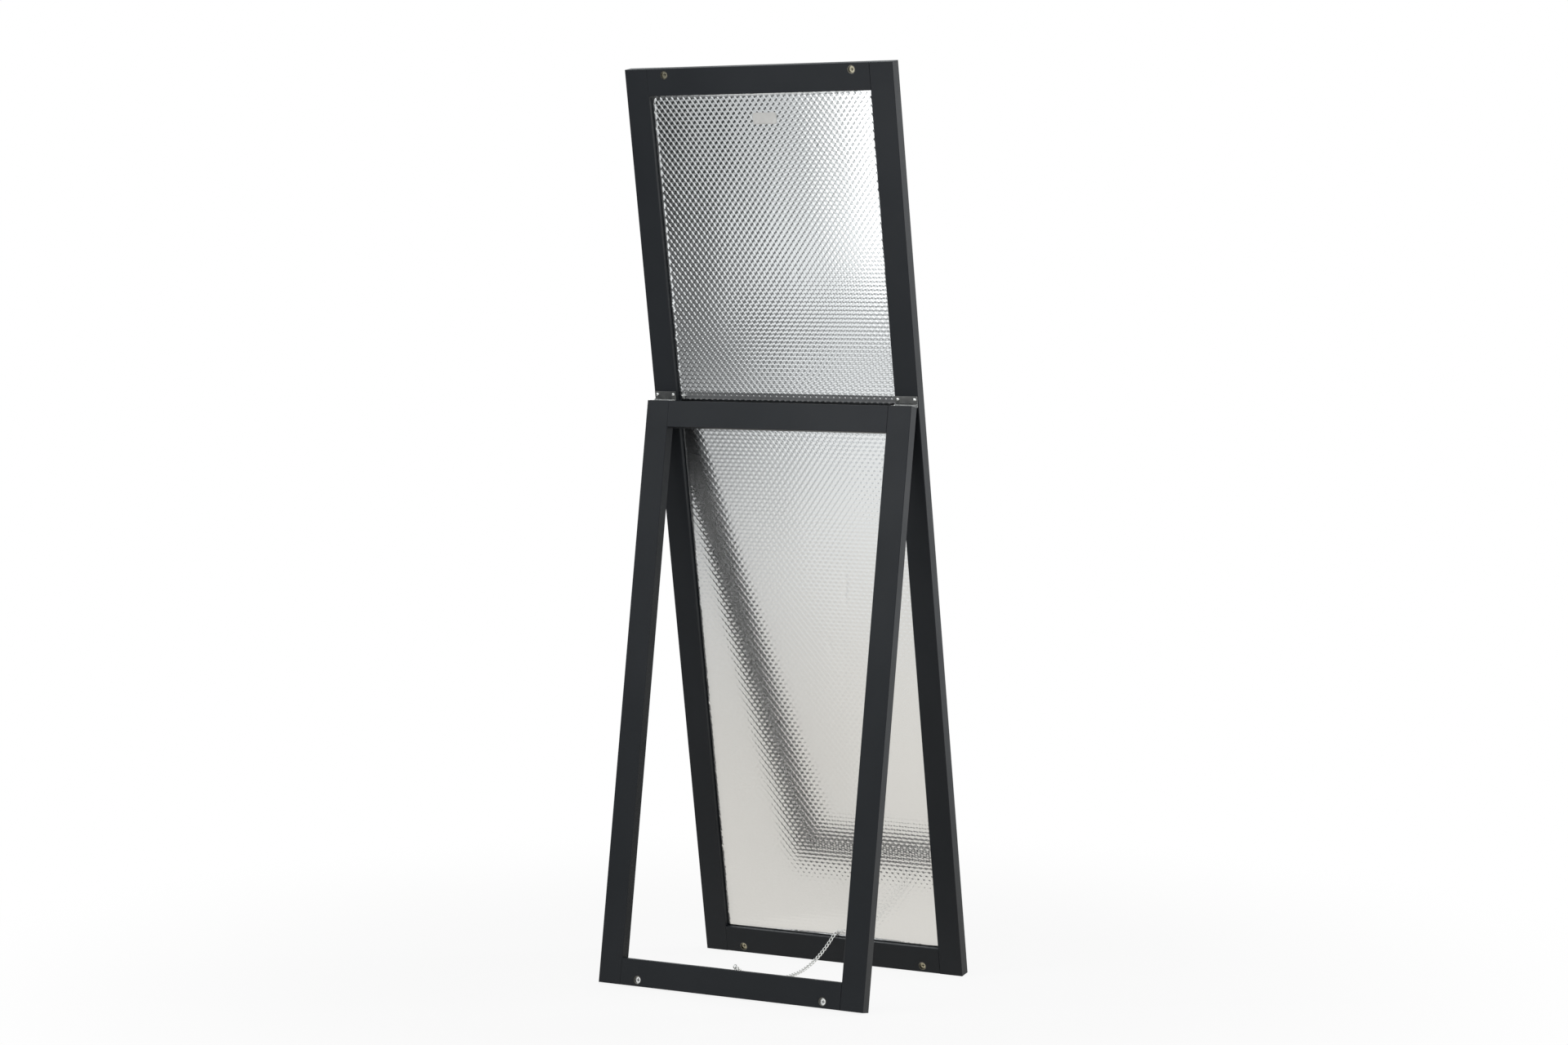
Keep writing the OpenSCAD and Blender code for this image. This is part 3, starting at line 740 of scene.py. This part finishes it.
def turned_from(tree, spot):
    """Socket with the angle, in radians, between a place and the middle of the room's dark side."""
    along = node(tree, "SeparateXYZ", {"Vector": spot}).outputs
    angle = worked_out(tree, "ARCTAN2", along["X"], along["Y"])
    return worked_out(tree, "ABSOLUTE", worked_out(tree, "SUBTRACT", angle, dark_middle))


def kinds_of_ray(tree):
    """Sockets that say whether a ray comes off something shiny, and whether it should meet plain white."""
    ray = node(tree, "LightPath").outputs
    seen = worked_out(tree, "MAXIMUM", ray["Is Camera Ray"], ray["Is Transmission Ray"])
    return ray["Is Glossy Ray"], seen


def soft_ramp(tree, value, start, end, low=0, high=1):
    """A ramp that starts and ends gently."""
    return ramp(tree, value, start, end, low, high, "SMOOTHSTEP")


dark_ends = [round(math.degrees(dark_middle + turn)) for turn in (-dark_half, dark_half)]
print("dark side:", dark_ends, "degrees from the mirror's back")

# %% [markdown]
# The world is that room. Rays that come off shiny things see its dark and its bright side, softly joined,
# and from a few degrees above the horizon it is bright all round. Dull surfaces get an even light from it,
# and the camera sees plain white.

# %% World
dark_edge, bright_edge = dark_half - 0.17, dark_half + 0.32
dark_level, bright_level = 0.1, 0.95
bright_from, bright_full = 0.04, 0.16
ambient = 0.42

world = bpy.data.worlds.new("studio")
bpy.context.scene.world = world
world.use_nodes = True
tree = world.node_tree
tree.nodes.clear()
direction = node(tree, "TexCoord").outputs["Generated"]
height = node(tree, "SeparateXYZ", {"Vector": direction}).outputs["Z"]
turned = turned_from(tree, direction)
side = soft_ramp(tree, turned, dark_edge, bright_edge, dark_level, bright_level)
overhead = soft_ramp(tree, height, bright_from, bright_full)
glossy, seen = kinds_of_ray(tree)
room = worked_out(tree, "MAXIMUM", side, overhead)
strength = between(tree, seen, between(tree, glossy, ambient, room), 1)
tint = mixed(tree, glossy, (1, 1, 1), (0.94, 0.98, 1))
sky = node(tree, "Background", {"Color": tint, "Strength": strength})
node(tree, "OutputWorld", {"Surface": sky.outputs["Background"]})
print("the world has", len(tree.nodes), "nodes")

# %% [markdown]
# The floor is one large plane. Its material starts as white paper that shades and is shaded. The camera
# sees the same paper mostly glowing, and wholly so away from the object, so that it ends in the white of
# the background and still keeps a soft shadow at the feet.

# %% Floor
floor_half = 30
glow_near, glow_far, glow_least = 0.5, 1.7, 0.89

bm = bmesh.new()
bmesh.ops.create_grid(bm, x_segments=2, y_segments=2, size=floor_half)
floor_mesh = bpy.data.meshes.new("floor")
bm.to_mesh(floor_mesh)
bm.free()
floor = bpy.data.objects.new("floor", floor_mesh)
bpy.context.scene.collection.objects.link(floor)

material, tree = finish_of("floor_white", Base_Color=(0.86, 0.855, 0.85, 1), Roughness=0.9,
                           Specular_IOR_Level=0)
sheet = tree.nodes["Principled BSDF"].outputs["BSDF"]
spot = node(tree, "NewGeometry").outputs["Position"]
distance = node(tree, "VectorMath", {0: spot}, operation="LENGTH").outputs["Value"]
glossy, seen = kinds_of_ray(tree)
white = node(tree, "Emission", {"Color": (1, 1, 1, 1), "Strength": 1}).outputs["Emission"]
glow = soft_ramp(tree, distance, glow_near, glow_far, glow_least, 1)
glowing = node(tree, "MixShader", {0: worked_out(tree, "MULTIPLY", seen, glow), 1: sheet, 2: white})
print("floor:", 2 * floor_half, "m across")

# %% [markdown]
# Shiny things see another floor, whose brightness changes with the distance from the object, and which is
# warm near it and cool farther out. On the dark side of the room it fades to black. On the bright side a
# narrow dark band crosses it at about three metres. Each of the two curves is a row of distances in metres
# and levels, and a color ramp follows it.

# %% What the foil sees of the floor
bright_floor = ((0, 0.8), (1.3, 0.8), (2.2, 1), (2.7, 0.94), (2.95, 0.24),
                (3.1, 0.24), (3.35, 1), (4.3, 1), (5.5, 0.62), (9, 0.75))
dark_floor = ((0.5, 0.74), (1.8, 0.7), (2.4, 0.51), (3, 0.22), (3.8, 0.14), (5, 0.03))
curve_end = 10
side_blur = 0.005
cool_from, cool_full = 0.6, 2.8


def curve(tree, distance, stops):
    """Socket that follows a curve given as pairs of distance and level."""
    made = node(tree, "ValToRGB", {"Fac": worked_out(tree, "DIVIDE", distance, curve_end)})
    elements = made.color_ramp.elements
    for k, (place, level) in enumerate(stops):
        stop = elements[k] if k < 2 else elements.new(place / curve_end)
        stop.position = place / curve_end
        stop.color = (level, level, level, 1)
    return made.outputs["Color"]


turned = turned_from(tree, spot)
on_bright = soft_ramp(tree, turned, dark_half - side_blur, dark_half + side_blur)
level = between(tree, on_bright, curve(tree, distance, dark_floor), curve(tree, distance, bright_floor))
cool = soft_ramp(tree, distance, cool_from, cool_full)
tint = mixed(tree, cool, (1, 0.975, 0.92), (0.955, 0.985, 1))
mirrored = node(tree, "Emission", {"Color": tint, "Strength": level}).outputs["Emission"]
both = node(tree, "MixShader", {0: glossy, 1: glowing.outputs["Shader"], 2: mirrored})
tree.links.new(both.outputs["Shader"], tree.nodes["Material Output"].inputs["Surface"])
wear(floor, material)
print(material.name, "has", len(tree.nodes), "nodes")

# %% [markdown]
# Three large soft lamps do the modelling. A soft box faces the back of the mirror: its lower edge ends the
# bright part of the foil, and its side edge is what makes the bumps turn from white to dark across it. A
# key stands high on the camera's left. A strip beside the mirror lights the outer sides of both frames,
# which are paler than their backs in the photograph.

# %% Lamps
def soft_lamp(name, place, aim, width, height, power):
    """A rectangular lamp that points at a place, and that the camera doesn't see."""
    data = bpy.data.lights.new(name, "AREA")
    data.shape = "RECTANGLE"
    data.size, data.size_y = width, height
    data.energy = power
    lamp = bpy.data.objects.new(name, data)
    lamp.location = place
    lamp.rotation_euler = (Vector(aim) - Vector(place)).to_track_quat("-Z", "Y").to_euler()
    lamp.visible_camera = False
    bpy.context.scene.collection.objects.link(lamp)


box_w, box_h, box_level = 1.3, 1.5, 1.08
box_edge, box_out, box_foot = 0.42, 1.1, 0.83
box_turn = Matrix.Rotation(math.radians(-1), 3, "Z")
box_place = box_turn @ Vector((box_edge - box_w / 2, box_out, box_foot + box_h / 2))
box_power = box_level * math.pi * box_w * box_h
frame_middle = Vector((0, 0, 0.8))
soft_lamp("soft_box", box_place, box_place - box_turn @ Vector((0, 1, 0)), box_w, box_h, box_power)
soft_lamp("key_lamp", (2.5, 3.0, 3.2), frame_middle, 2.2, 2.2, 30)
soft_lamp("side_strip", (-2.6, -2.2, 1.2), frame_middle, 0.9, 2.4, 39)
bpy.context.scene.view_settings.view_transform = "Standard"
print("soft box:", [round(v, 2) for v in box_place], "m,", round(box_power, 1), "W")
